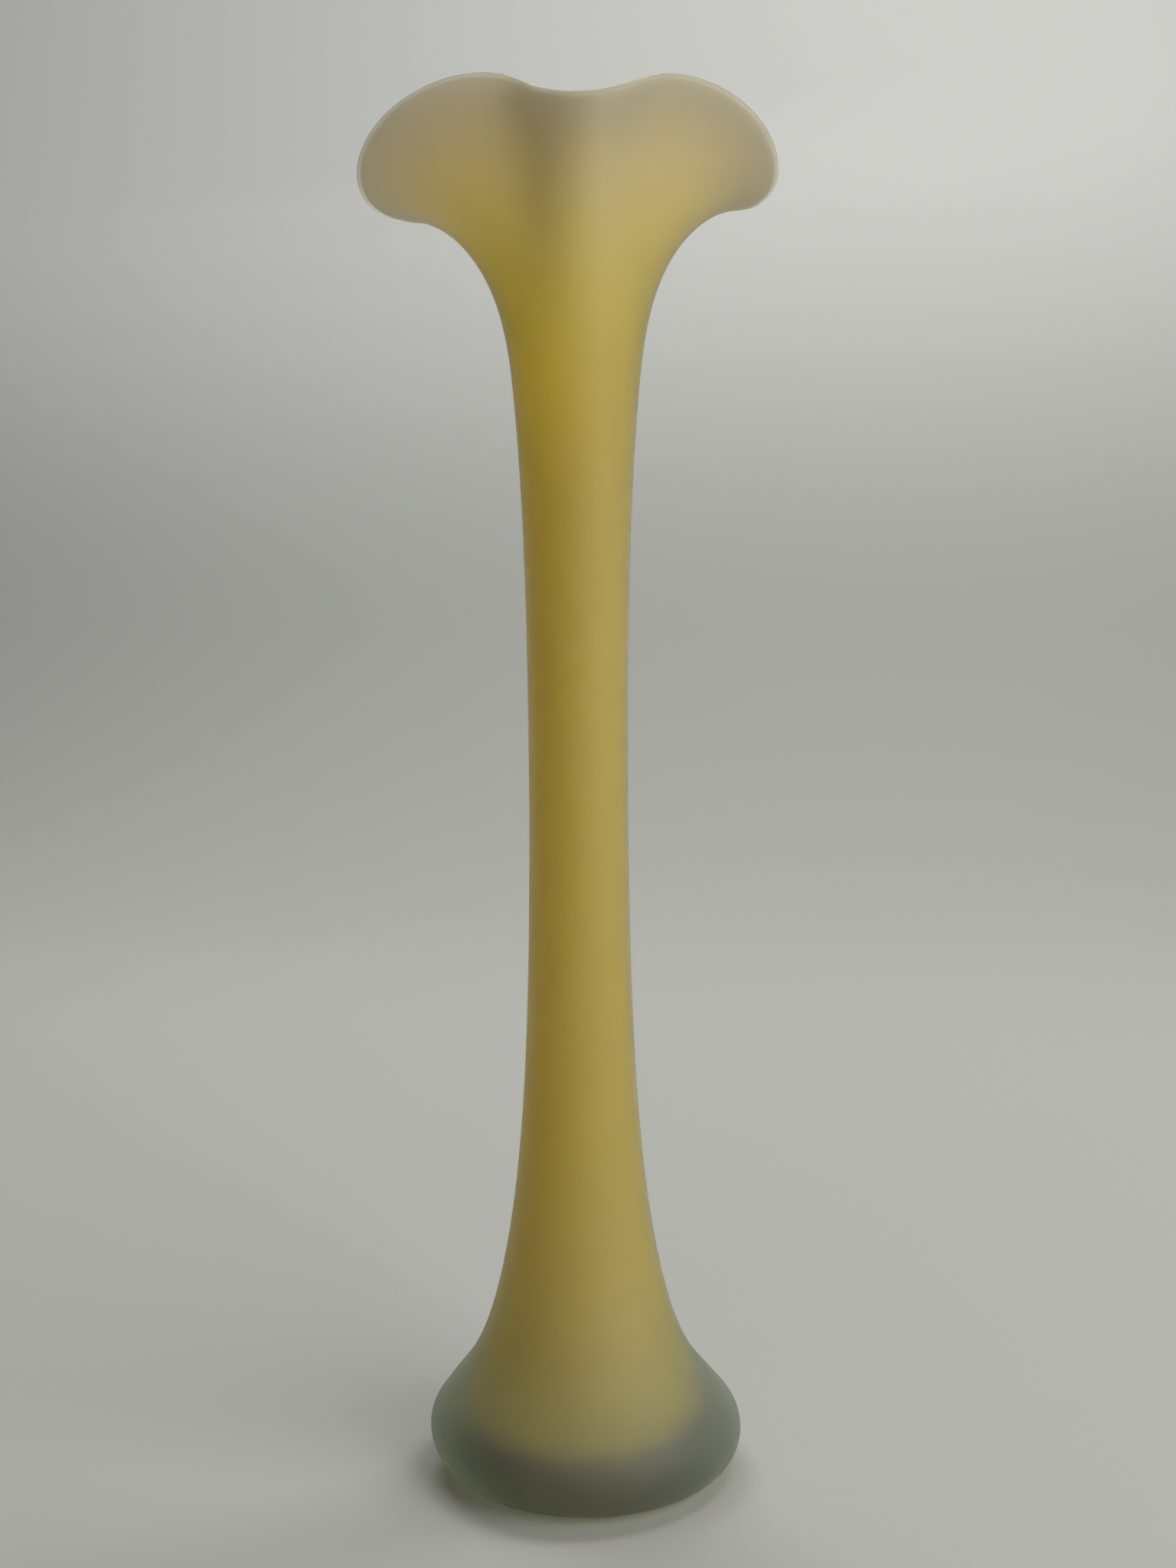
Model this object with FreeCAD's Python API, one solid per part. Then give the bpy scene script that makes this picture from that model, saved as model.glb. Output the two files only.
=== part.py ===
import FreeCAD, Part
import math
import os

# A tall trumpet vase of blown cased glass, standing on the plane z = 0 with its stem on the Z axis.
# A thin yellow lining lies inside a clear casing, a heavy clear foot is gathered round its closed end,
# and the mouth is flared and drawn into three drooping lobes with crimps between them.
# All lengths are in millimetres. Angles round the vase start at +X and turn towards +Y,
# so that the small front lobe looks along -Y.

# Foot: a round bulge of clear glass under the seam where it meets the casing
foot_width = 70.9
foot_round = 9.56
foot_shift = 1.1
seam_height = 23.5
seam_inset = 8.53
pontil_width = 27.0
pontil_depth = 1.4

# Stem: it narrows from its toe and bell above the foot to the waist and swells again into the neck
waist_width = 20.83
toe_swell = 2.0973
bell_reach = 35.26
neck_swell = 3.26
neck_reach = 36.08
mouth_height = 241.7

# Mouth: the wall bends outwards along its path, more in the lobes and less in the crimps
mouth_path = 60.5
lip_angle = 49.7
bend_power = 1.7
lobe_power = 1.45
# Each wave: how many lobes it has, how far it bends the lip in degrees, and where it bends most
lobe_waves = ((1, 16.8, 96.8), (2, 23.4, -1.8), (3, 19.8, 34.4), (4, 2.5, 15.2), (5, 3.2, 51.3))
# Each wave: how many lobes it has, by what share it lengthens the path, and where it does most
path_wave_shares = ((1, 0.043, 289), (2, 0.041, 12.3), (3, 0.036, 85.8))

# Walls: the clear casing outside, the yellow lining inside, and a film between the two solids
casing_wall = 2.0
lining_wall = 1.0
lip_wall = 2.2
seam_wall = 8.0
seam_wall_reach = 9.0
film = 0.02

# The closed end of the bubble in the foot
bubble_width = 38.8
bubble_height = 11.0
floor_wall = 5.0

# The lining thins out and stops short of the lip, which leaves a clear band round the mouth
clear_band = 4.0
clear_band_extra = 1.0
clear_band_angle = 225.0
taper_length = 10.0
lining_edge = 0.3
band_step = 2.0

# How finely the formulas are sampled, and how exactly the skins and joints close
columns = 36
mouth_rows = 9
band_rows = 4
edge_steps = 4
stem_rows = 40
stem_degree = 8
stem_crowding = 1.6
foot_rows = 8
shoulder_rows = 2
end_share = 1 / 3
oval_pull = 0.5523
skin_rounds = 6
curve_slack = 0.01
joint_slack = 0.0001
overrun = 1.0

foot_radius = foot_width / 2
seam_radius = foot_radius - seam_inset
waist_radius = waist_width / 2
bubble_radius = bubble_width / 2
foot_core = foot_radius - foot_round

Vector = FreeCAD.Vector


def shoulder_angle():
    """Where the straight shoulder leaves the round of the foot, as an angle on that round."""
    along, up = seam_radius - foot_core, seam_height - foot_round
    return math.atan2(up, along) - math.acos(foot_round / math.hypot(along, up))


shoulder_slope = -math.tan(shoulder_angle())
neck_at_seam = neck_swell * math.exp((seam_height - mouth_height) / neck_reach)
bell_swell = seam_radius - waist_radius - toe_swell - neck_at_seam
toe_reach = toe_swell / (-shoulder_slope - bell_swell / bell_reach)


def stem_radius(z):
    """Outer radius at a height between the seam and the mouth."""
    above = z - seam_height
    bell = bell_swell * math.exp(-above / bell_reach) + toe_swell * math.exp(-above / toe_reach)
    return waist_radius + bell + neck_swell * math.exp((z - mouth_height) / neck_reach)


def stem_lean(z):
    """Angle from upright of the stem's outer face at a height."""
    above = z - seam_height
    falls = bell_swell / bell_reach * math.exp(-above / bell_reach)
    falls += toe_swell / toe_reach * math.exp(-above / toe_reach)
    return math.atan(neck_swell / neck_reach * math.exp((z - mouth_height) / neck_reach) - falls)


def stem_casing(z):
    """Thickness of the clear casing, which grows towards the foot."""
    return casing_wall + (seam_wall - casing_wall) * math.exp(-(z - seam_height) / seam_wall_reach)


bore_slope = math.tan(stem_lean(seam_height)) + (seam_wall - casing_wall) / seam_wall_reach


def waves(table, turn):
    """Sum of the cosine waves of a table at an angle round the vase."""
    return sum(size * math.cos(count * (turn - math.radians(peak))) for count, size, peak in table)


def smooth(share):
    """A share held between 0 and 1 and given soft ends."""
    held = min(max(share, 0), 1)
    return held * held * (3 - 2 * held)


def path_length(turn):
    """Length of the outer face from the neck to the lip at an angle round the vase."""
    return mouth_path * (1 + waves(path_wave_shares, turn))


def mouth_lean(share, turn):
    """Angle from upright of the mouth's outer face, at a share of its path."""
    start = stem_lean(mouth_height)
    bend = (math.radians(lip_angle) - start) * share ** bend_power
    return start + bend + math.radians(waves(lobe_waves, turn)) * share ** lobe_power


def mouth_point(share, turn):
    """Radius, height and bend from the neck on the mouth's outer face, by adding up short steps of its path."""
    steps = 4 * mouth_rows
    step = path_length(turn) * share / steps
    r, z = stem_radius(mouth_height), mouth_height
    for i in range(steps):
        lean = mouth_lean(share * (i + 0.5) / steps, turn)
        r += step * math.sin(lean)
        z += step * math.cos(lean)
    return r, z, mouth_lean(share, turn) - stem_lean(mouth_height)


def inward(r, z, bend, depth):
    """The point that lies a depth behind the outer face: level in the stem, and turned with the mouth's bend."""
    return r - depth * math.cos(bend), z + depth * math.sin(bend)


def lining_end(turn):
    """Share of the mouth's path at which the lining ends."""
    band = clear_band + clear_band_extra * math.cos(turn - math.radians(clear_band_angle))
    return 1 - band / path_length(turn)


def neck(turn):
    """Share of the mouth's path at which the mouth starts."""
    return 0


def lip_end(turn):
    """Share of the mouth's path at which the casing ends."""
    return 1


def surface_depth(share, turn):
    """Depth of the vase's outer face."""
    return 0


def full_depth(share, turn):
    """Depth of the vase's inner face in the mouth."""
    return casing_wall + lining_wall + (lip_wall - casing_wall - lining_wall) * smooth(share)


def lining_depth(share, turn):
    """Depth in the mouth at which the lining starts, since it thins out towards its edge."""
    left = (lining_end(turn) - share) * path_length(turn)
    thickness = lining_edge + (lining_wall - lining_edge) * smooth(left / taper_length)
    return full_depth(share, turn) - thickness


def casing_depth(share, turn):
    """Depth in the mouth at which the casing ends behind the lining."""
    return lining_depth(share, turn) - film


def band_depth(share, turn):
    """Depth at which the casing ends in the clear band, where it comes out past the lining's edge."""
    past = (share - lining_end(turn)) * path_length(turn) / band_step
    return full_depth(share, turn) - (lining_edge + film) * (1 - smooth(past))


def shares(count):
    """Even shares from 0 to 1, with one more close to each end that keeps a curve's ends true."""
    even = [i / count for i in range(count + 1)]
    close = end_share * even[1]
    return [0, close] + even[1:-1] + [1 - close, 1]


def place(r, z):
    """A point of a profile that is turned about the stem's axis."""
    return Vector(r, 0, z)


def bezier(*poles):
    """A cubic curve that is pulled by its two middle poles."""
    curve = Part.BezierCurve()
    curve.setPoles(poles)
    return curve


def bubble_curves(wall):
    """Up the bubble's closed end at a wall inside its outer face: a quarter oval, then a side that meets the stem."""
    width, low, top = bubble_radius - wall, floor_wall + wall, seam_radius - seam_wall - wall
    pull, rise = oval_pull * width, oval_pull * (bubble_height - low)
    oval = bezier(place(0, low), place(pull, low), place(width, bubble_height - rise), place(width, bubble_height))
    third = (seam_height - bubble_height) / 3
    leaving, meeting = place(width, bubble_height + third), place(top - bore_slope * third, seam_height - third)
    return [oval, bezier(place(width, bubble_height), leaving, meeting, place(top, seam_height))]


def stem_curve(depth_at):
    """Up a face of the stem at a depth behind the outer one, from points that lie closer together in the bell."""
    tall = mouth_height - seam_height
    heights = [seam_height + tall * (i / stem_rows) ** stem_crowding for i in range(stem_rows + 1)]
    curve = Part.BSplineCurve()
    points = [place(stem_radius(z) - depth_at(z), z) for z in heights]
    curve.approximate(Points=points, DegMax=stem_degree, Tolerance=curve_slack)
    return curve


def turned(front, back):
    """A solid turned about the stem's axis, between two rows of curves that both run upwards."""
    edges = [curve.toShape() for curve in front + back]
    edges.append(Part.makeLine(front[0].StartPoint, back[0].StartPoint))
    edges.append(Part.makeLine(front[-1].EndPoint, back[-1].EndPoint))
    return Part.Face(Part.Wire(Part.sortEdges(edges)[0])).revolve(Vector(), Vector(0, 0, 1), 360)


def ring(point_at):
    """A row of points round the vase, from a function that gives radius and height at an angle."""
    row = []
    for i in range(columns):
        turn = 2 * math.pi * i / columns
        r, z = point_at(turn)
        row.append(Vector(r * math.cos(turn), r * math.sin(turn), z))
    return row


def mouth_rings(start_at, end_at, depth_at, count):
    """Rings up a face of the mouth's wall, at a depth behind the outer one, between two shares of its path."""
    def point_at(turn, portion):
        share = start_at(turn) + portion * (end_at(turn) - start_at(turn))
        r, z, bend = mouth_point(share, turn)
        return inward(r, z, bend, depth_at(share, turn))
    return [ring(lambda turn: point_at(turn, portion)) for portion in shares(count)]


def edge_rings(end_at, front_at, back_at):
    """Rings over the free edge of the mouth's wall, on a half circle from its front face to its back."""
    def point_at(turn, angle):
        share = end_at(turn)
        r, z, bend = mouth_point(share, turn)
        front, back = front_at(share, turn), back_at(share, turn)
        half = (back - front) / 2
        r, z = inward(r, z, bend, front + half - half * math.cos(angle))
        rise = half * math.sin(angle)
        return r + rise * math.sin(bend), z + rise * math.cos(bend)
    return [ring(lambda turn: point_at(turn, math.pi * i / edge_steps)) for i in range(edge_steps + 1)]


def skin(rows):
    """A smooth closed sleeve through rows of points, each row once round the vase."""
    across, along, degree = len(rows[0]), len(rows), 3
    knots = [float(i) for i in range(along - degree + 1)]
    counts = [degree + 1] + [1] * (len(knots) - 2) + [degree + 1]
    padded = [knots[0]] * degree + knots + [knots[-1]] * degree
    levels = [sum(padded[j + 1:j + 1 + degree]) / degree for j in range(along)]
    turns = [float(i) for i in range(across + 1)]
    singles = [1] * len(turns)
    # a column of poles pulls hardest one turn before its own number, so the columns start one late
    targets = [[Vector(row[i - 1]) for row in rows] for i in range(across)]
    poles = targets
    surface = Part.BSplineSurface()
    for _ in range(skin_rounds):
        surface.buildFromPolesMultsKnots(poles, singles, counts, turns, knots, True, False, degree, degree)
        poles = [[poles[i][j] + targets[i][j] - surface.value((i - 1) % across, levels[j]) for j in range(along)]
                 for i in range(across)]
    surface.buildFromPolesMultsKnots(poles, singles, counts, turns, knots, True, False, degree, degree)
    return surface.toShape()


def closed_edges(sleeve):
    """The closed edges at the two ends of a sleeve, the longer one first."""
    return sorted([edge for edge in sleeve.Edges if edge.isClosed()], key=lambda edge: -edge.Length)


def sewn(sleeves, *caps):
    """A solid from sleeves and the flat faces that close them, each cap a list of the closed edges round it."""
    shell = Part.makeShell(sleeves + [Part.Face([Part.Wire([edge]) for edge in edges]) for edges in caps])
    shell.sewShape()
    return Part.makeSolid(shell)


def with_mouth(tube, stretches):
    """A turned tube with the mouth's lobed wall on its level top, from stretches of rings that go over the lip."""
    sleeves = [skin(stretch) for stretch in stretches]
    rims = [closed_edges(sleeve)[-1] for sleeve in (sleeves[0], sleeves[-1])]
    return tube.fuse([sewn(sleeves, rims)], joint_slack).Solids[0]


def make_casing():
    """The clear casing: the stem's outer glass and the whole lip, cut level at the seam."""
    tube = turned([stem_curve(lambda z: 0)], [stem_curve(lambda z: stem_casing(z) - film)])
    front = mouth_rings(neck, lip_end, surface_depth, mouth_rows)
    lip = edge_rings(lip_end, surface_depth, full_depth)
    lined = mouth_rings(neck, lining_end, casing_depth, mouth_rows)
    band = mouth_rings(lining_end, lip_end, band_depth, band_rows)
    return with_mouth(tube, [front, lip, band[::-1], lined[::-1]])


def make_lining():
    """The yellow lining: a closed end in the foot, a tube up the stem and a thinned edge in the mouth."""
    outer = bubble_curves(0) + [stem_curve(stem_casing)]
    inner = bubble_curves(lining_wall) + [stem_curve(lambda z: stem_casing(z) + lining_wall)]
    front = mouth_rings(neck, lining_end, lining_depth, mouth_rows)
    back = mouth_rings(neck, lining_end, full_depth, mouth_rows)
    edge = edge_rings(lining_end, lining_depth, full_depth)
    return with_mouth(turned(outer, inner), [front, edge, back[::-1]])


def make_bulge():
    """The solid bulge of the foot, which stands a little to one side and comes back under the stem."""
    sweep = shoulder_angle() + math.pi / 2
    stops = [sweep * share - math.pi / 2 for share in shares(foot_rows)]
    places = [(foot_core + foot_round * math.cos(stop), foot_round + foot_round * math.sin(stop)) for stop in stops]
    low_r, low_z = places[-1]
    for share in shares(shoulder_rows)[1:]:
        places.append((low_r + (seam_radius - low_r) * share, low_z + (seam_height - low_z) * share))
    rows = []
    for spot in places:
        aside = Vector(foot_shift * (1 - smooth(spot[1] / seam_height)), 0, 0)
        rows.append([point + aside for point in ring(lambda turn: spot)])
    side = skin(rows)
    return sewn([side], *[[edge] for edge in closed_edges(side)])


def make_foot():
    """The clear foot: a bulge that the bubble's end sinks into, ground hollow in the middle of its underside."""
    bore = bubble_curves(-film)
    rim, ceiling = bore[-1].EndPoint, seam_height + overrun
    bore.append(Part.LineSegment(rim, rim + place(bore_slope * overrun, overrun)))
    cavity = turned(bore, [Part.LineSegment(place(0, bubble_height), place(0, ceiling))])
    ball = (pontil_width ** 2 / 4 + pontil_depth ** 2) / (2 * pontil_depth)
    hollow = Part.makeSphere(ball, place(foot_shift, pontil_depth - ball))
    return make_bulge().cut([cavity, hollow]).Solids[0]


NODES = {"clear_casing": make_casing, "yellow_lining": make_lining, "clear_foot": make_foot}

if __name__ == "__main__":
    os.makedirs("parts", exist_ok=True)
    for name, make in NODES.items():
        make().exportStep(os.path.join("parts", name + ".step"))
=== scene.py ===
"""Looks of a tall trumpet vase of blown cased glass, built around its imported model.

The vase is one melt of three gathers. A clear casing and a heavy clear foot share one surface with an
acid-etched satin skin, so they are one piece here, and a yellow lining lies inside them. Sizes are in
millimetres, and angles round the vase start at +X and go towards +Y, as in the part's source. Meshes are
made in metres.
"""

import logging
import math
from dataclasses import dataclass, field
from enum import Enum
from typing import Any

import bpy
import numpy as np
from mathutils import Matrix, Vector

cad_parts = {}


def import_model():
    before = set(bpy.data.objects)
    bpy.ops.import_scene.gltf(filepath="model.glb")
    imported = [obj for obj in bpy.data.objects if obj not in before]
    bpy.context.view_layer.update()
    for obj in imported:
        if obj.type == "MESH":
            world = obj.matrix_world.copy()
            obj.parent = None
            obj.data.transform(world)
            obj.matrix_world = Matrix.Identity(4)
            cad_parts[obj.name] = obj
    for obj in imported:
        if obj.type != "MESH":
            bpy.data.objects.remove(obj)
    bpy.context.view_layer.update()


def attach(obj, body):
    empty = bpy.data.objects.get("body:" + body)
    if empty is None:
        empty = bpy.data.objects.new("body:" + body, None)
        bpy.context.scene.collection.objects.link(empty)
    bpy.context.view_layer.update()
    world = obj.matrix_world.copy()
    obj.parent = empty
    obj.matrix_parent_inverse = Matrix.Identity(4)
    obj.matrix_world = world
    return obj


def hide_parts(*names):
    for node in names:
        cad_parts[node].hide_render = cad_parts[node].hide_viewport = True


MM = 0.001
WHITE = "#ffffff"

# A colour Mix node's sockets go by number, since it has several of each name
MIX_SHARE, MIX_FROM, MIX_TO, MIX_RESULT = 0, 6, 7, 2

Place = tuple[float, float, float]
Wave = tuple[int, float, float]
log = logging.getLogger("vase")


class Layer(Enum):
    """The glass layers that the eye can tell apart."""

    CLEAR = "clear_satin_glass"
    YELLOW = "yellow_glass"


def linear(code: str) -> tuple[float, float, float, float]:
    """Turn an sRGB hex colour into linear light.

    Args:
        code: Six hex digits after a hash sign.

    Returns:
        Red, green, blue and an alpha of one.
    """
    shares = [int(code[i:i + 2], 16) / 255 for i in (1, 3, 5)]
    light = [s / 12.92 if s <= 0.04045 else ((s + 0.055) / 1.055) ** 2.4 for s in shares]
    return light[0], light[1], light[2], 1.0


def add_node(tree: bpy.types.NodeTree, kind: str, settings: dict[str, Any] | None = None,
             inputs: dict[str | int, Any] | None = None) -> bpy.types.Node:
    """Add a node with its settings, values and links.

    Args:
        tree: The node tree that gets the node.
        kind: The node's type name.
        settings: Values of the node's own properties.
        inputs: For each input, by name or number, its value or the output socket that feeds it.

    Returns:
        The new node.
    """
    node = tree.nodes.new(kind)
    for name, value in (settings or {}).items():
        setattr(node, name, value)
    for key, value in (inputs or {}).items():
        if isinstance(value, bpy.types.NodeSocket):
            tree.links.new(value, node.inputs[key])
        else:
            node.inputs[key].default_value = value
    return node


def add_object(name: str, data: bpy.types.ID) -> bpy.types.Object:
    """Put a mesh, a lamp or a camera into the scene.

    Args:
        name: Name of the object.
        data: The mesh, lamp or camera.

    Returns:
        The object that shows it.
    """
    thing = bpy.data.objects.new(name, data)
    bpy.context.scene.collection.objects.link(thing)
    return thing


def keep_values(mesh: bpy.types.Mesh, name: str, values: np.ndarray) -> None:
    """Store a value for each vertex, which a material reads by its name.

    Args:
        mesh: The mesh that gets the values.
        name: Name of the values.
        values: One number for each vertex, in order.
    """
    layer = mesh.attributes.new(name, "FLOAT", "POINT")
    layer.data.foreach_set("value", values.astype(np.float32))


def smooth(share: np.ndarray | float) -> np.ndarray:
    """A share held between 0 and 1 and given soft ends."""
    held = np.clip(share, 0, 1)
    return held * held * (3 - 2 * held)


@dataclass(frozen=True)
class Form:
    """The vase's shape, worked out from its driving sizes as in the part's source.

    The last group of sizes is the scene's own. Thick clear glass is a lens, so the yellow core looks wider
    from outside than it is, and the satin skin's strong scatter takes that away in a render. The closed end
    is therefore wider here than in the solids. The lining also runs on to the lip as a pale stain.
    """

    foot_radius: float = 35.45
    foot_round: float = 9.56
    foot_shift: float = 1.1
    seam_height: float = 23.5
    seam_radius: float = 26.92
    pontil_radius: float = 13.5
    pontil_depth: float = 1.4

    waist_radius: float = 10.415
    bell_swell: float = 14.4
    bell_reach: float = 35.26
    neck_swell: float = 3.26
    neck_reach: float = 36.08
    mouth_height: float = 241.7

    mouth_path: float = 60.5
    lip_angle: float = 49.7
    bend_power: float = 1.7
    lobe_power: float = 1.45
    path_steps: int = 12

    # Each wave: how many lobes it has, how far it bends the lip in degrees, and where it bends most
    lobe_waves: tuple[Wave, ...] = (
        (1, 16.8, 96.8), (2, 23.4, -1.8), (3, 19.8, 34.4), (4, 2.5, 15.2), (5, 3.2, 51.3))
    # Each wave: how many lobes it has, by what share it lengthens the path, and where it does most
    path_wave_shares: tuple[Wave, ...] = ((1, 0.043, 289), (2, 0.041, 12.3), (3, 0.036, 85.8))

    casing_wall: float = 2.0
    lining_wall: float = 1.0
    lip_wall: float = 2.2
    seam_wall_reach: float = 9.0
    bubble_height: float = 11.0
    floor_wall: float = 5.0
    taper_length: float = 10.0

    # The scene's own: the closed end's width and the glass over it at the seam, how far below the lip the
    # stain stops and how thick it is there, and how deep the two layers of glass are melted together
    bubble_radius: float = 23.0
    seam_wall: float = 5.5
    stain_gap: float = 0.4
    lining_edge: float = 1.5
    melt: float = 0.3

    @property
    def foot_core(self) -> float:
        """Radius of the foot inside its round."""
        return self.foot_radius - self.foot_round

    @property
    def shoulder_angle(self) -> float:
        """Where the straight shoulder leaves the foot's round, as an angle on that round."""
        along, up = self.seam_radius - self.foot_core, self.seam_height - self.foot_round
        return math.atan2(up, along) - math.acos(self.foot_round / math.hypot(along, up))

    def foot_aside(self, z: float) -> float:
        """How far the foot's middle lies towards +X at a height, down to nothing at the seam."""
        return self.foot_shift * (1 - float(smooth(z / self.seam_height)))

    def _toe(self) -> tuple[float, float]:
        """Work out the stem's toe, which makes the stem meet the seam in line with the shoulder.

        Returns:
            The toe's swell and its reach.
        """
        neck = self.neck_swell * math.exp((self.seam_height - self.mouth_height) / self.neck_reach)
        swell = self.seam_radius - self.waist_radius - self.bell_swell - neck
        return swell, swell / (math.tan(self.shoulder_angle) - self.bell_swell / self.bell_reach)

    def stem_radius(self, z: np.ndarray) -> np.ndarray:
        """Work out the stem's outer face.

        Args:
            z: Heights between the seam and the mouth.

        Returns:
            Its radius at each height.
        """
        above = z - self.seam_height
        swell, reach = self._toe()
        bell = self.bell_swell * np.exp(-above / self.bell_reach) + swell * np.exp(-above / reach)
        neck = self.neck_swell * np.exp((z - self.mouth_height) / self.neck_reach)
        return self.waist_radius + bell + neck

    def stem_lean(self, z: float) -> float:
        """Work out how far the stem's outer face leans out.

        Args:
            z: A height between the seam and the mouth.

        Returns:
            The face's angle from upright there.
        """
        above = z - self.seam_height
        swell, reach = self._toe()
        falls = self.bell_swell / self.bell_reach * math.exp(-above / self.bell_reach)
        falls += swell / reach * math.exp(-above / reach)
        rises = self.neck_swell / self.neck_reach * math.exp((z - self.mouth_height) / self.neck_reach)
        return math.atan(rises - falls)

    def stem_bore(self, z: np.ndarray) -> np.ndarray:
        """Work out the face between casing and lining in the stem, where the casing thickens downwards.

        Args:
            z: Heights between the seam and the mouth.

        Returns:
            Its radius at each height.
        """
        swell = self.seam_wall - self.casing_wall
        wall = self.casing_wall + swell * np.exp(-(z - self.seam_height) / self.seam_wall_reach)
        return self.stem_radius(z) - wall

    @staticmethod
    def waves(table: tuple[Wave, ...], turns: np.ndarray) -> np.ndarray:
        """Sum of the cosine waves of a table at angles round the vase."""
        return sum(size * np.cos(count * (turns - math.radians(peak))) for count, size, peak in table)

    def path_length(self, turns: np.ndarray) -> np.ndarray:
        """Length of the outer face from the neck to the lip."""
        return self.mouth_path * (1 + self.waves(self.path_wave_shares, turns))

    def mouth_lean(self, shares: np.ndarray, turns: np.ndarray) -> np.ndarray:
        """Work out how far the mouth's outer face leans out.

        Args:
            shares: Shares of the path from the neck to the lip.
            turns: Angles round the vase.

        Returns:
            The face's angle from upright at each share and turn.
        """
        start = self.stem_lean(self.mouth_height)
        bend = (math.radians(self.lip_angle) - start) * shares ** self.bend_power
        lobes = np.radians(self.waves(self.lobe_waves, turns)) * shares ** self.lobe_power
        return start + bend + lobes

    def mouth(self, shares: np.ndarray, turns: np.ndarray) -> tuple[np.ndarray, np.ndarray, np.ndarray]:
        """Work out points of the mouth's outer face by following its path in small steps.

        Args:
            shares: Rows of shares of the path, rising from row to row, one column for each turn.
            turns: Angles round the vase.

        Returns:
            Radius, height and bend from the neck, each with a row for each row of shares.
        """
        start = self.stem_lean(self.mouth_height)
        length, steps = self.path_length(turns), self.path_steps
        r = np.full(len(turns), float(self.stem_radius(np.array(self.mouth_height))))
        z = np.full(len(turns), self.mouth_height)
        last = np.zeros(len(turns))
        rows_r, rows_z = [], []
        for row in shares:
            for i in range(steps):
                lean = self.mouth_lean(last + (row - last) * (i + 0.5) / steps, turns)
                r = r + (row - last) / steps * length * np.sin(lean)
                z = z + (row - last) / steps * length * np.cos(lean)
            last = row
            rows_r.append(r)
            rows_z.append(z)
        return np.array(rows_r), np.array(rows_z), self.mouth_lean(shares, turns) - start

    def lining_end(self, turns: np.ndarray) -> np.ndarray:
        """Share of the mouth's path at which the lining's pale stain ends, just short of the lip."""
        return 1 - self.stain_gap / self.path_length(turns)

    def full_depth(self, shares: np.ndarray) -> np.ndarray:
        """Depth of the vase's inner face in the mouth."""
        both = self.casing_wall + self.lining_wall
        return both + (self.lip_wall - both) * smooth(shares)

    def lining_depth(self, shares: np.ndarray, turns: np.ndarray) -> np.ndarray:
        """Work out the face between casing and lining in the mouth.

        Args:
            shares: Shares of the path from the neck to the lip.
            turns: Angles round the vase.

        Returns:
            Its depth behind the outer face.
        """
        left = (self.lining_end(turns) - shares) * self.path_length(turns)
        swell = self.lining_wall - self.lining_edge
        return self.full_depth(shares) - (self.lining_edge + swell * smooth(left / self.taper_length))


@dataclass(frozen=True)
class Tints:
    """How much of its full colour each glass has along the vase, from 0 to 1."""

    lip_fade: float = 18.0
    stain_fade: float = 60.0
    bell_share: float = 0.55
    bell_fade: float = 110.0

    def lip(self, left: np.ndarray) -> np.ndarray:
        """Tint of the clear glass at lengths of the path that are left up to the lip."""
        return smooth(left / self.lip_fade)

    def mouth(self, left: np.ndarray) -> np.ndarray:
        """Tint of the lining at lengths of the path that are left up to its edge."""
        return np.clip(left / self.stain_fade, 0, 1)

    def stem(self, z: np.ndarray) -> np.ndarray:
        """Tint of the lining at heights up the stem, paler in the bell, where it was blown wider."""
        return self.bell_share + (1 - self.bell_share) * smooth(z / self.bell_fade)


@dataclass
class Rows:
    """Rows of points round the vase, from one end on the axis to the other."""

    turns: np.ndarray
    points: list[np.ndarray] = field(default_factory=list)
    tints: list[np.ndarray] = field(default_factory=list)

    def add(self, r: Any, z: Any, aside: float = 0.0, tint: Any = 1.0) -> None:
        """Add one row.

        Args:
            r: Radius, for all turns or for each.
            z: Height, for all turns or for each.
            aside: How far the row is moved along +X.
            tint: How much of its full colour the glass has there.
        """
        full = np.ones(len(self.turns))
        x, y = r * np.cos(self.turns) + aside, r * np.sin(self.turns)
        self.points.append(np.stack([x, y, z * full], axis=1))
        self.tints.append(tint * full)

    def add_many(self, r: np.ndarray, z: np.ndarray, tint: Any = 1.0, down: bool = False) -> None:
        """Add a row for each row of radii and heights.

        Args:
            r: Radii, a number or a row of them for each row.
            z: Heights, in the same way.
            tint: Tints, in the same way or one for all.
            down: Whether the rows are added from the last to the first.
        """
        tints = np.broadcast_to(tint, r.shape)
        order = range(len(r))
        for i in reversed(order) if down else order:
            self.add(r[i], z[i], tint=tints[i])

    def mesh(self, name: str) -> bpy.types.Object:
        """Close the rows into a mesh, with quads between them and a fan at each end.

        Args:
            name: Name of the object.

        Returns:
            The object, smooth shaded, with the rows' tint as a value of each vertex.
        """
        columns, gaps = len(self.turns), len(self.points) - 3
        inner = np.concatenate(self.points[1:-1])
        ends = np.array([self.points[0].mean(0), self.points[-1].mean(0)])
        low, high, top = len(inner), len(inner) + 1, gaps * columns
        faces = []
        for row in range(0, top, columns):
            for i in range(columns):
                k = (i + 1) % columns
                faces.append((row + i, row + k, row + columns + k, row + columns + i))
        for i in range(columns):
            k = (i + 1) % columns
            faces.append((low, k, i))
            faces.append((high, top + i, top + k))
        mesh = bpy.data.meshes.new(name)
        mesh.from_pydata((np.concatenate([inner, ends]) * MM).tolist(), [], faces)
        mesh.shade_smooth()
        keep_values(mesh, "tint", np.concatenate(self.tints[1:-1] + [self.tints[0][:1], self.tints[-1][:1]]))
        return add_object(name, mesh)


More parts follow.
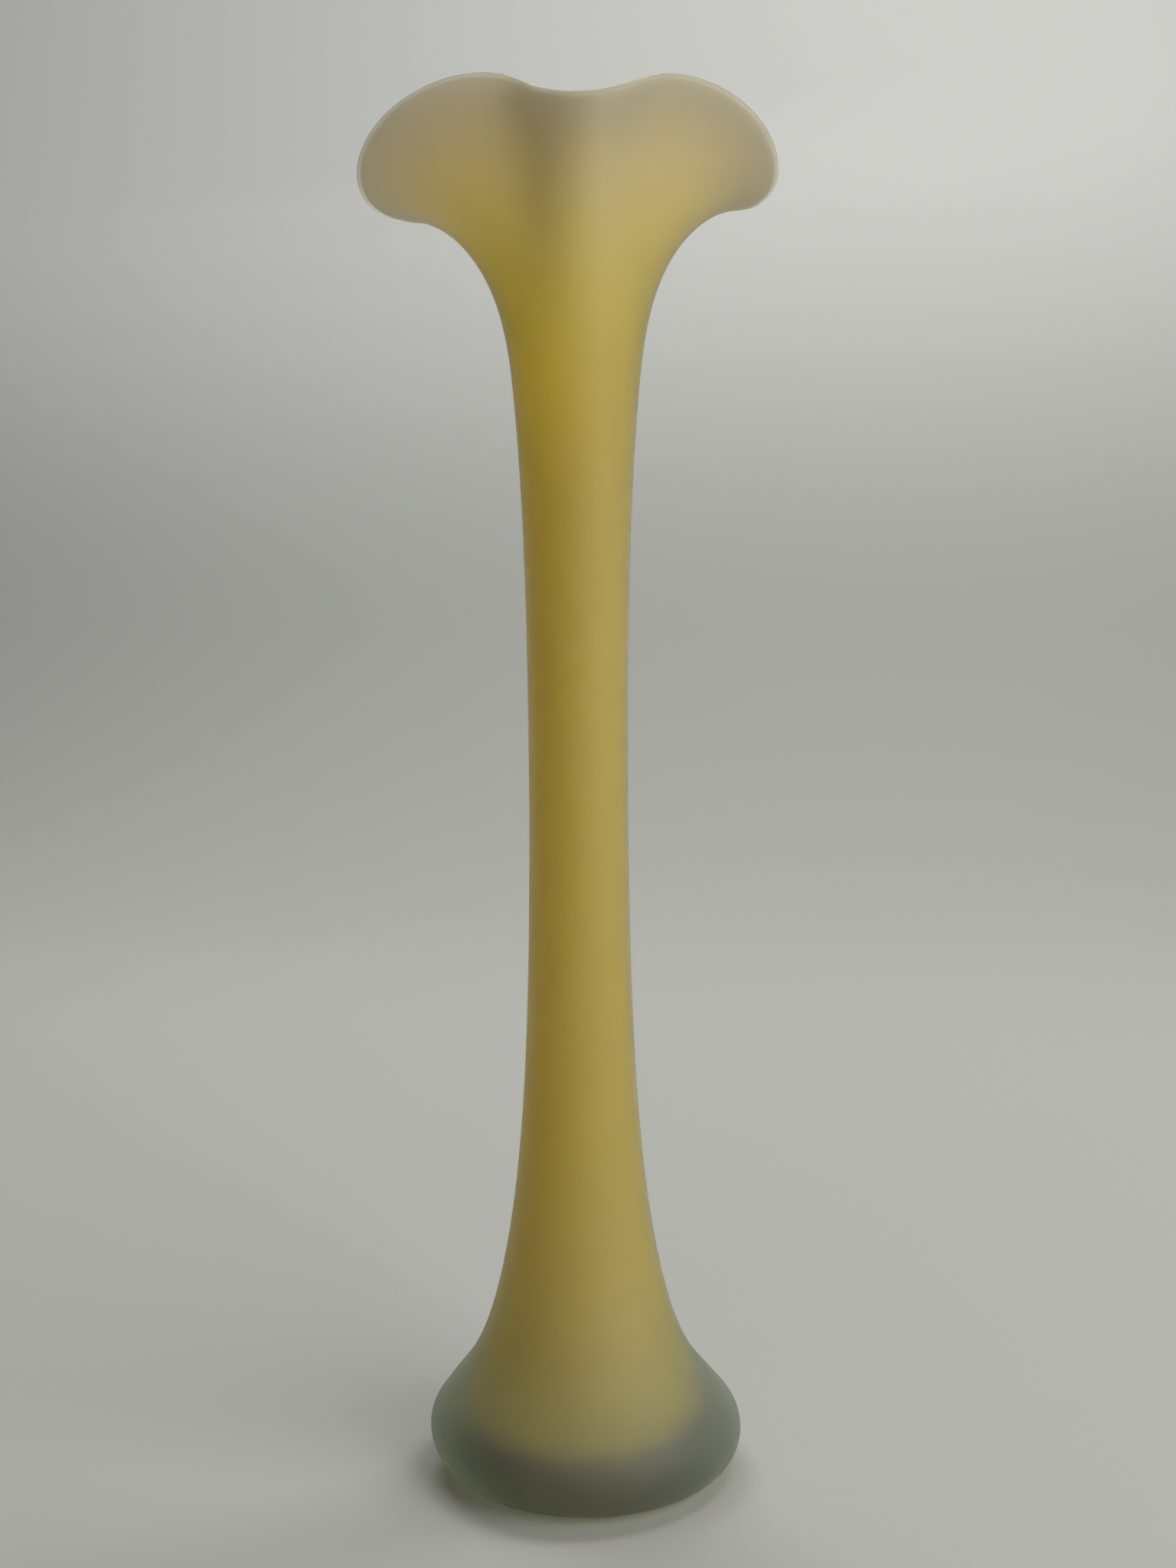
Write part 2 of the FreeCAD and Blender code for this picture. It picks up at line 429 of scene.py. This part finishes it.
@dataclass(frozen=True)
class SatinGlass:
    """Clear soda-lime glass with an acid-etched satin skin.

    The acid bath leaves pits of a few hundredths of a millimetre. They spread what is seen through the glass
    and give a milky bloom on the side of the light. They are too fine to show, so they are roughness, and
    the slow waviness of hand-blown glass is bump. Thick glass turns green, and the lip is a little greyer.
    """

    colour: str = "#f4f5ef"
    lip_colour: str = "#e8ece2"
    roughness: float = 0.7
    ior: float = 1.5
    specular_level: float = 0.2
    clearness: float = 0.97
    bloom: float = 1.0
    bloom_roughness: float = 0.75
    bloom_ior: float = 1.6
    wave_length: float = 14.0
    wave_height: float = 0.05
    wave_strength: float = 1.0
    wave_detail: float = 1.0
    wave_roughness: float = 0.4
    depth_colour: str = "#acbe88"
    depth_density: float = 40.0

    def material(self) -> bpy.types.Material:
        """Make the material.

        Returns:
            The material, whose colour goes from the lip's to the body's with the mesh's tint.
        """
        material = bpy.data.materials.new("acid_etched_clear_glass")
        material.use_nodes = True
        tree = material.node_tree
        tree.nodes.clear()
        place = add_node(tree, "ShaderNodeTexCoord")
        noise = add_node(tree, "ShaderNodeTexNoise", None, {
            "Vector": place.outputs["Object"], "Scale": 1 / (self.wave_length * MM),
            "Detail": self.wave_detail, "Roughness": self.wave_roughness})
        bump = add_node(tree, "ShaderNodeBump", None, {
            "Height": noise.outputs["Fac"], "Strength": self.wave_strength,
            "Distance": self.wave_height * MM})
        tint = add_node(tree, "ShaderNodeAttribute", {"attribute_name": "tint"})
        colour = add_node(tree, "ShaderNodeMix", {"data_type": "RGBA"}, {
            MIX_SHARE: tint.outputs["Fac"], MIX_FROM: linear(self.lip_colour),
            MIX_TO: linear(self.colour)})
        glass = add_node(tree, "ShaderNodeBsdfPrincipled", None, {
            "Base Color": colour.outputs[MIX_RESULT], "Normal": bump.outputs["Normal"],
            "Roughness": self.roughness, "IOR": self.ior, "Specular IOR Level": self.specular_level,
            "Transmission Weight": self.clearness, "Coat Weight": self.bloom,
            "Coat Roughness": self.bloom_roughness, "Coat IOR": self.bloom_ior})
        inside = add_node(tree, "ShaderNodeVolumeAbsorption", None, {
            "Color": linear(self.depth_colour), "Density": self.depth_density})
        add_node(tree, "ShaderNodeOutputMaterial", None, {
            "Surface": glass.outputs["BSDF"], "Volume": inside.outputs["Volume"]})
        return material


@dataclass(frozen=True)
class YellowGlass:
    """Honey-yellow glass, blown thin inside the clear casing.

    It is cloudy, so most of the light goes through as a soft glow and a small share comes back. Where it is
    drawn out it pales, and more of the light comes back.
    """

    colour: str = "#fcec14"
    edge_colour: str = "#ece0d0"
    front_share: float = 0.05
    edge_front_share: float = 0.35

    def material(self) -> bpy.types.Material:
        """Make the material.

        Returns:
            The material, whose colour and clarity go from the edge's to the body's with the mesh's tint.
        """
        material = bpy.data.materials.new("yellow_cased_glass")
        material.use_nodes = True
        tree = material.node_tree
        tree.nodes.clear()
        tint = add_node(tree, "ShaderNodeAttribute", {"attribute_name": "tint"})
        colour = add_node(tree, "ShaderNodeMix", {"data_type": "RGBA"}, {
            MIX_SHARE: tint.outputs["Fac"], MIX_FROM: linear(self.edge_colour),
            MIX_TO: linear(self.colour)})
        front = add_node(tree, "ShaderNodeBsdfDiffuse", None, {"Color": colour.outputs[MIX_RESULT]})
        through = add_node(tree, "ShaderNodeBsdfTranslucent", None, {"Color": colour.outputs[MIX_RESULT]})
        share = add_node(tree, "ShaderNodeMapRange", None, {
            "Value": tint.outputs["Fac"], "To Min": self.edge_front_share, "To Max": self.front_share})
        glass = add_node(tree, "ShaderNodeMixShader", None, {
            0: share.outputs["Result"], 1: through.outputs["BSDF"], 2: front.outputs["BSDF"]})
        add_node(tree, "ShaderNodeOutputMaterial", None, {"Surface": glass.outputs["Shader"]})
        return material


@dataclass
class Vase:
    """The vase's two visible pieces of glass, and how finely they are drawn."""

    form: Form
    tints: Tints
    columns: int = 192
    stem_rows: int = 110
    stem_row_power: float = 1.5
    mouth_rows: int = 56
    round_rows: int = 24
    bubble_side_rows: int = 12
    edge_rows: int = 10
    flat_rows: int = 8
    foot_ring_rows: int = 5
    lip_rows: int = 16

    def _new_rows(self) -> Rows:
        """Empty rows with this vase's columns."""
        return Rows(np.arange(self.columns) * 2 * math.pi / self.columns)

    def _stem_heights(self) -> np.ndarray:
        """Choose the heights of the stem's rows, closer together in the bell.

        Returns:
            The heights, from the seam up to just under the mouth.
        """
        form = self.form
        shares = np.linspace(0, 1, self.stem_rows, endpoint=False) ** self.stem_row_power
        return form.seam_height + (form.mouth_height - form.seam_height) * shares

    def _bubble(self, wall: float) -> tuple[np.ndarray, np.ndarray]:
        """Work out the closed end in the foot: a quarter ellipse, then a curve that meets the stem's bore.

        Args:
            wall: How far inside the face between clear and yellow glass.

        Returns:
            Radii and heights from the axis up to just under the seam.
        """
        form = self.form
        width, low = form.bubble_radius - wall, form.floor_wall + wall
        arcs = np.linspace(0, math.pi / 2, self.round_rows, endpoint=False)
        round_r = width * np.sin(arcs)
        round_z = form.bubble_height - (form.bubble_height - low) * np.cos(arcs)
        slope = math.tan(form.stem_lean(form.seam_height))
        slope += (form.seam_wall - form.casing_wall) / form.seam_wall_reach
        top, tall = form.seam_radius - form.seam_wall - wall, form.seam_height - form.bubble_height
        meeting = top - slope * tall / 3
        share = np.linspace(0, 1, self.bubble_side_rows, endpoint=False)
        side_r = (width * (1 - share) ** 3 + 3 * width * share * (1 - share) ** 2
                  + 3 * meeting * share ** 2 * (1 - share) + top * share ** 3)
        side_z = form.bubble_height + tall * share
        return np.concatenate([round_r, side_r]), np.concatenate([round_z, side_z])

    def _wall(self, shares: np.ndarray, depth: Any, turns: np.ndarray) -> tuple[np.ndarray, np.ndarray]:
        """Radii and heights of the mouth's wall at a depth behind its outer face."""
        r, z, bend = self.form.mouth(shares, turns)
        return r - depth * np.cos(bend), z + depth * np.sin(bend)

    def _add_edge(self, rows: Rows, end: np.ndarray, front: Any, back: Any) -> None:
        """Add rows over a free edge of the wall, on a half circle and without tint.

        Args:
            rows: The rows that get them.
            end: Share of the mouth's path at which the edge lies, for each turn.
            front: Depth at which the half circle starts.
            back: Depth at which it ends.
        """
        r, z, bend = (a[0] for a in self.form.mouth(end[None, :], rows.turns))
        half = (back - front) / 2
        for i in range(1, self.edge_rows):
            angle = math.pi * i / self.edge_rows
            depth, rise = front + half - half * math.cos(angle), half * math.sin(angle)
            rows.add(r - depth * np.cos(bend) + rise * np.sin(bend),
                     z + depth * np.sin(bend) + rise * np.cos(bend), tint=0.0)

    def _add_foot(self, rows: Rows) -> None:
        """Add the ground hollow, the ring that the vase stands on, the foot's round and its shoulder.

        Args:
            rows: The rows that get them.
        """
        form = self.form
        ball = (form.pontil_radius ** 2 + form.pontil_depth ** 2) / (2 * form.pontil_depth)
        for r in np.linspace(0, form.pontil_radius, self.flat_rows):
            rows.add(r, math.sqrt(ball ** 2 - r ** 2) - ball + form.pontil_depth, form.foot_shift)
        for r in np.linspace(form.pontil_radius, form.foot_core, self.foot_ring_rows)[1:-1]:
            rows.add(r, 0.0, form.foot_shift)
        for stop in np.linspace(-math.pi / 2, form.shoulder_angle, self.round_rows):
            z = form.foot_round + form.foot_round * math.sin(stop)
            rows.add(form.foot_core + form.foot_round * math.cos(stop), z, form.foot_aside(z))
        low_r = form.foot_core + form.foot_round * math.cos(form.shoulder_angle)
        low_z = form.foot_round + form.foot_round * math.sin(form.shoulder_angle)
        for share in np.linspace(0, 1, self.flat_rows)[1:-1]:
            z = low_z + (form.seam_height - low_z) * share
            rows.add(low_r + (form.seam_radius - low_r) * share, z, form.foot_aside(z))

    def _add_casing(self, rows: Rows) -> None:
        """Add the outer face of the stem and the mouth, and the rounded lip.

        Args:
            rows: The rows that get them.
        """
        form, heights, lip = self.form, self._stem_heights(), np.ones(self.columns)
        rows.add_many(form.stem_radius(heights), heights)
        shares = np.linspace(0, 1, self.mouth_rows)[:, None] * lip
        left = (1 - shares) * form.path_length(rows.turns)
        rows.add_many(*self._wall(shares, 0.0, rows.turns), self.tints.lip(left))
        self._add_edge(rows, lip, 0.0, form.full_depth(lip))

    def _add_inside(self, rows: Rows) -> None:
        """Add the clear glass's inner face: round the stain's edge, down along the lining, to the axis.

        Args:
            rows: The rows that get it.
        """
        form, turns, heights = self.form, rows.turns, self._stem_heights()
        length, end = form.path_length(turns), form.lining_end(turns)

        shares = end + (1 - end) * np.linspace(0, 1, self.lip_rows)[:, None]
        past = smooth((shares - end) * length / form.stain_gap)
        depth = form.full_depth(shares) - (form.lining_edge - form.melt / 2) * (1 - past)
        tint = self.tints.lip((1 - shares) * length)
        rows.add_many(*self._wall(shares, depth, turns), tint, down=True)

        shares = end * np.linspace(0, 1, self.mouth_rows)[:, None]
        front, back = form.lining_depth(shares, turns), form.full_depth(shares)
        r, z = self._wall(shares, front + np.minimum(form.melt, (back - front) / 2), turns)
        tint = self.tints.lip((1 - shares) * length)
        rows.add_many(r[:-1], z[:-1], tint[:-1], down=True)
        rows.add_many(form.stem_bore(heights) - form.melt, heights, down=True)
        rows.add_many(*self._bubble(form.melt), down=True)

    def clear(self) -> bpy.types.Object:
        """Build the clear glass: foot, casing and lip in one surface.

        Returns:
            The object, without its material.
        """
        rows = self._new_rows()
        self._add_foot(rows)
        self._add_casing(rows)
        self._add_inside(rows)
        return rows.mesh("clear_satin_body")

    def lining(self) -> bpy.types.Object:
        """Build the yellow lining: closed end, tube and flared wall, its outer face and then its inner one.

        Returns:
            The object, without its material.
        """
        form, rows = self.form, self._new_rows()
        turns, heights = rows.turns, self._stem_heights()
        end = form.lining_end(turns)
        shares = end * np.linspace(0, 1, self.mouth_rows)[:, None]
        front, back = form.lining_depth(shares, turns), form.full_depth(shares)
        mouth_tint = self.tints.mouth((end - shares) * form.path_length(turns))
        stem_tint = self.tints.stem(heights)

        rows.add_many(*self._bubble(0.0), stem_tint[0])
        rows.add_many(form.stem_bore(heights), heights, stem_tint)
        rows.add_many(*self._wall(shares, front, turns), mouth_tint)
        self._add_edge(rows, end, form.lining_depth(end, turns), form.full_depth(end))
        rows.add_many(*self._wall(shares, back, turns), mouth_tint, down=True)
        rows.add_many(form.stem_bore(heights) - form.lining_wall, heights, stem_tint, down=True)
        rows.add_many(*self._bubble(form.lining_wall), stem_tint[0], down=True)
        return rows.mesh("yellow_lining_glass")

    def build(self) -> None:
        """Make, dress and place both pieces."""
        clear, lining = self.clear(), self.lining()
        clear.data.materials.append(SatinGlass().material())
        lining.data.materials.append(YellowGlass().material())
        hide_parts("clear_casing", "clear_foot")
        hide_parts("yellow_lining")
        for piece, layer in ((clear, Layer.CLEAR), (lining, Layer.YELLOW)):
            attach(piece, "root")
            log.info("%s: %d vertices", piece.name, len(piece.data.vertices))


@dataclass(frozen=True)
class Paper:
    """Matt, uncoated pale grey backdrop paper, which has no gloss.

    Its colour holds painted light and shade: painted shade darkens it away from the vase, and painted light
    makes it paler up the wall.
    """

    near_colour: str = "#b0b1ab"
    # Painted shade: the darker colour the paper takes away from the vase
    shade_far_colour: str = "#999a95"
    # Painted light: the paler colour the paper takes up the wall
    lit_wall_colour: str = "#d8d9d4"
    roughness: float = 0.9
    specular_level: float = 0.0

    def material(self) -> bpy.types.Material:
        """Make the material.

        Returns:
            The material, with the sheet's painted shade and painted light in its colour.
        """
        material = bpy.data.materials.new("matt_backdrop_paper")
        material.use_nodes = True
        tree = material.node_tree
        # Painted shade and painted light: the colour darkens away from the vase and pales up the wall
        painted_shade = add_node(tree, "ShaderNodeAttribute", {"attribute_name": "painted_shade"})
        rise = add_node(tree, "ShaderNodeAttribute", {"attribute_name": "rise"})
        low = add_node(tree, "ShaderNodeMix", {"data_type": "RGBA"}, {
            MIX_SHARE: painted_shade.outputs["Fac"], MIX_FROM: linear(self.near_colour),
            MIX_TO: linear(self.shade_far_colour)})
        high = add_node(tree, "ShaderNodeMix", {"data_type": "RGBA"}, {
            MIX_SHARE: rise.outputs["Fac"], MIX_FROM: low.outputs[MIX_RESULT],
            MIX_TO: linear(self.lit_wall_colour)})
        shader = tree.nodes["Principled BSDF"]
        tree.links.new(high.outputs[MIX_RESULT], shader.inputs["Base Color"])
        shader.inputs["Roughness"].default_value = self.roughness
        shader.inputs["Specular IOR Level"].default_value = self.specular_level
        return material


@dataclass
class Backdrop:
    """The floor, the cove and the wall, as one sheet of paper with painted shade and painted light in its
    colour.
    """

    half_width: float = 1300.0
    front: float = -1000.0
    back: float = 700.0
    cove: float = 1000.0
    top: float = 2400.0
    floor_rows: int = 13
    cove_rows: int = 25
    # Where the painted shade starts and ends going back, and where the painted light starts and ends going
    # up
    painted_shade_start: float = 300.0
    painted_shade_end: float = 1300.0
    painted_light_start: float = 150.0
    painted_light_end: float = 750.0

    # How strong the painted shade and the painted light are at the sheet's left and right side
    painted_shade_sides: tuple[float, float] = (1.0, 0.3)
    painted_light_sides: tuple[float, float] = (1.4, 0.85)

    def _spots(self) -> list[tuple[float, float]]:
        """Choose where the sheet's rows lie.

        Returns:
            How far back and how high each row lies, from the front to the top.
        """
        spots = [(y, 0.0) for y in np.linspace(self.front, self.back, self.floor_rows)]
        for angle in np.linspace(0, math.pi / 2, self.cove_rows)[1:]:
            spots.append((self.back + self.cove * math.sin(angle), self.cove * (1 - math.cos(angle))))
        spots.append((self.back + self.cove, self.top))
        return spots

    def build(self) -> None:
        """Make the sheet."""
        spots = self._spots()
        vertices = [(x * MM, y * MM, z * MM) for y, z in spots for x in (-self.half_width, self.half_width)]
        faces = [(2 * i, 2 * i + 1, 2 * i + 3, 2 * i + 2) for i in range(len(spots) - 1)]
        mesh = bpy.data.meshes.new("backdrop")
        mesh.from_pydata(vertices, [], faces)
        mesh.shade_smooth()
        y, z = np.array(spots).T
        # Painted shade grows away from the vase and painted light grows up the wall; both are kept for the
        # paper's colour
        painted_shade = smooth((y - self.painted_shade_start) / (self.painted_shade_end - self.painted_shade_start))
        rise = smooth((z - self.painted_light_start) / (self.painted_light_end - self.painted_light_start))
        keep_values(mesh, "painted_shade", np.outer(painted_shade, self.painted_shade_sides).ravel())
        keep_values(mesh, "rise", np.outer(rise, self.painted_light_sides).ravel())
        mesh.materials.append(Paper().material())
        add_object("backdrop", mesh)


@dataclass(frozen=True)
class Lamp:
    """A soft square lamp of white light."""

    name: str
    watts: float
    size: float
    place: Place
    aim: Place = (0.0, 0.0, 150.0)

    def build(self) -> None:
        """Put the lamp in its place, facing its aim."""
        data = bpy.data.lights.new(self.name, "AREA")
        data.shape = "SQUARE"
        data.size = self.size * MM
        data.energy = self.watts
        lamp = add_object(self.name, data)
        lamp.location = Vector(self.place) * MM
        way = Vector(self.aim) * MM - lamp.location
        lamp.rotation_mode = "QUATERNION"
        lamp.rotation_quaternion = way.to_track_quat("-Z", "Y")


@dataclass(frozen=True)
class Camera:
    """The camera at the photograph's place, fitted to the vase's outline."""

    place: Place = (2.1, -424.2, 197.7)
    down: float = 5.547
    roll: float = -0.35
    focal_pixels: float = 2500.0
    frame_pixels: float = 2048.0
    nearest: float = 10.0
    farthest: float = 20000.0

    def build(self) -> None:
        """Put the camera in its place and look through it."""
        data = bpy.data.cameras.new("camera")
        data.lens = self.focal_pixels / self.frame_pixels * data.sensor_width
        data.clip_start, data.clip_end = self.nearest * MM, self.farthest * MM
        camera = add_object("camera", data)
        turn = Matrix.Rotation(math.radians(90 - self.down), 4, "X")
        roll = Matrix.Rotation(math.radians(self.roll), 4, "Z")
        camera.matrix_world = Matrix.Translation(Vector(self.place) * MM) @ turn @ roll
        bpy.context.scene.camera = camera


@dataclass
class Studio:
    """Everything round the vase: backdrop, lamps, world and camera."""

    sky: float = 0.16
    lamps: tuple[Lamp, ...] = (
        Lamp("key", 7.8, 900.0, (700.0, -520.0, 520.0)),
        Lamp("back", 7.0, 700.0, (-250.0, 750.0, 1250.0)),
        Lamp("wall", 16.0, 800.0, (600.0, 560.0, 1700.0), aim=(0.0, 1700.0, 500.0)),
        Lamp("fill", 0.3, 900.0, (-200.0, -900.0, 250.0)))

    def build(self) -> None:
        """Set up the studio and the plain view of it."""
        Backdrop().build()
        for lamp in self.lamps:
            lamp.build()
        world = bpy.data.worlds.new("world")
        world.use_nodes = True
        background = world.node_tree.nodes["Background"]
        background.inputs["Color"].default_value = linear(WHITE)
        background.inputs["Strength"].default_value = self.sky
        bpy.context.scene.world = world
        bpy.context.scene.view_settings.view_transform = "Standard"
        Camera().build()


def main() -> None:
    """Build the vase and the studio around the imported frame."""
    logging.basicConfig(level=logging.INFO, format="%(name)s: %(message)s")
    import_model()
    Vase(Form(), Tints()).build()
    Studio().build()


if __name__ == "__main__":
    main()
